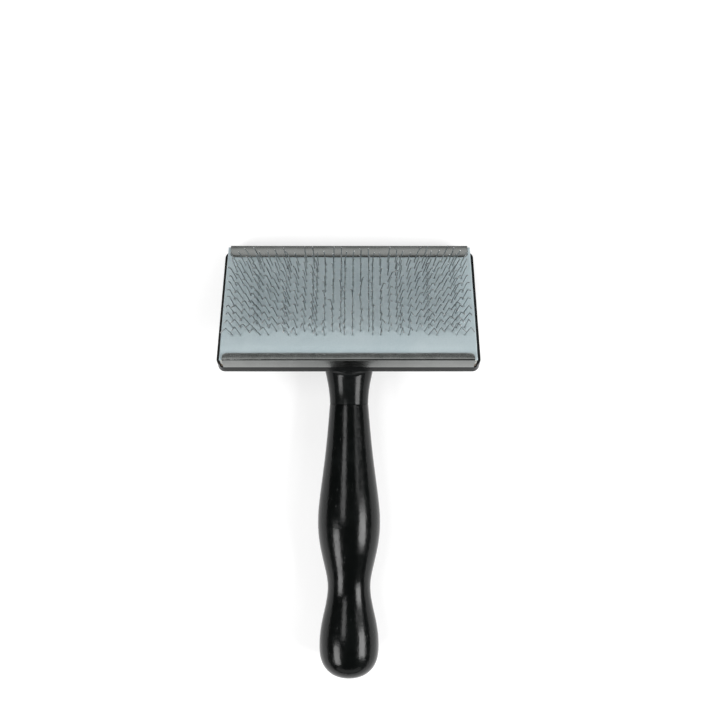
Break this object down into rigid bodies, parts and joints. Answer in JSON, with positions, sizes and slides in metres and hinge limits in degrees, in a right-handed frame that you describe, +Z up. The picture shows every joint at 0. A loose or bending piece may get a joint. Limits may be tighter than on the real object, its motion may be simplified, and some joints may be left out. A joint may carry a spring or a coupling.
{
  "type": "slicker brush",
  "caption": "Pet slicker brush: turned black handle, tilted head with a pale pad of fine bent wires held by tin strips along both long edges.",
  "frame": {"origin": "middle of the brush's footprint on the surface it lies on, wires up", "axes": "+Z up, away from the table; +Y from the handle's butt to the far edge of the head; +X to the right across the head"},
  "size_m": [0.1016, 0.1736, 0.0386],
  "materials": {
    "lacquered_wood": "thick black gloss lacquer with slight orange peel",
    "black_plastic": "black gloss moulding",
    "screw_steel": "zinc plated",
    "plain_board": "raw fibreboard",
    "foam": "open foam",
    "woven_cloth": "plain weave",
    "pale_rubber": "pale blue-grey, satin",
    "tinplate": "bright tinplate",
    "wire_steel": "drawn and hardened wire"
  },
  "bodies": {
    "root": {"handle": "lacquered_wood", "head_shell": "black_plastic", "handle_screw": "screw_steel", "handle_washer": "screw_steel", "carrier_board": "plain_board", "carrier_screws": "screw_steel", "foam_cushion": "foam", "foundation_cloth": "woven_cloth", "rubber_facing": "pale_rubber", "near_edge_strip": "tinplate", "far_edge_strip": "tinplate", "wire_row_01": "wire_steel", "wire_row_02": "wire_steel", "wire_row_03": "wire_steel", "wire_row_04": "wire_steel", "wire_row_05": "wire_steel", "wire_row_06": "wire_steel", "wire_row_07": "wire_steel", "wire_row_08": "wire_steel", "wire_row_09": "wire_steel", "wire_row_10": "wire_steel", "wire_row_11": "wire_steel"}
  },
  "joints": []
}
